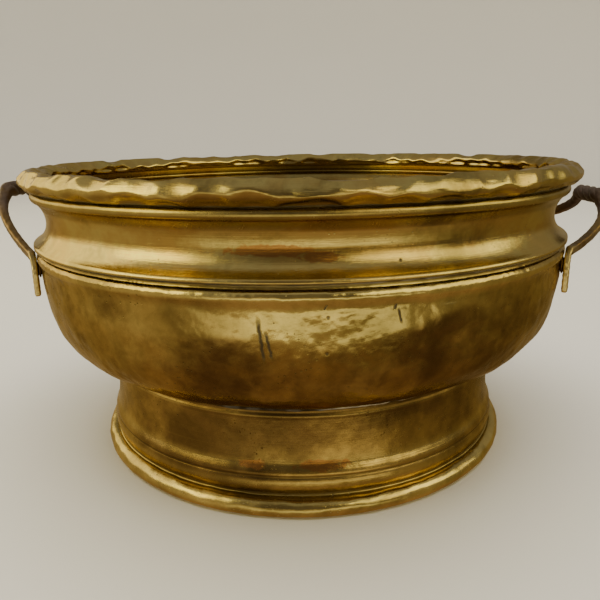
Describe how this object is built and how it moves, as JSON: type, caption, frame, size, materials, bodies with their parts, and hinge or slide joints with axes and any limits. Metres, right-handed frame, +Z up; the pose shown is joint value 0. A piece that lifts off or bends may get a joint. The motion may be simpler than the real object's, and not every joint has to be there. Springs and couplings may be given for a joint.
{
  "type": "planter pot",
  "caption": "Round hammered brass planter pot on a foot ring, with a rolled rim, a waisted neck and fixed side handles with twisted grips.",
  "frame": {"origin": "centre of the underside of the foot ring, on the surface the pot stands on", "axes": "+Z up along the pot's axis; the two handles stand on +X and -X; the front faces -Y"},
  "size_m": [0.343, 0.3, 0.1555],
  "materials": {
    "brass_sheet": "hammered and spun, aged polish with brown patina",
    "handle_brass": "dark patina, twisted grip",
    "solder": "tin-lead soft solder, dull",
    "braze": "dark braze"
  },
  "bodies": {
    "root": {"neck_band": "brass_sheet", "bowl": "brass_sheet", "neck_solder": "solder", "foot": "brass_sheet", "foot_solder": "solder", "left_handle": "handle_brass", "right_handle": "handle_brass", "left_front_braze": "braze", "left_rear_braze": "braze", "right_front_braze": "braze", "right_rear_braze": "braze"}
  },
  "joints": []
}
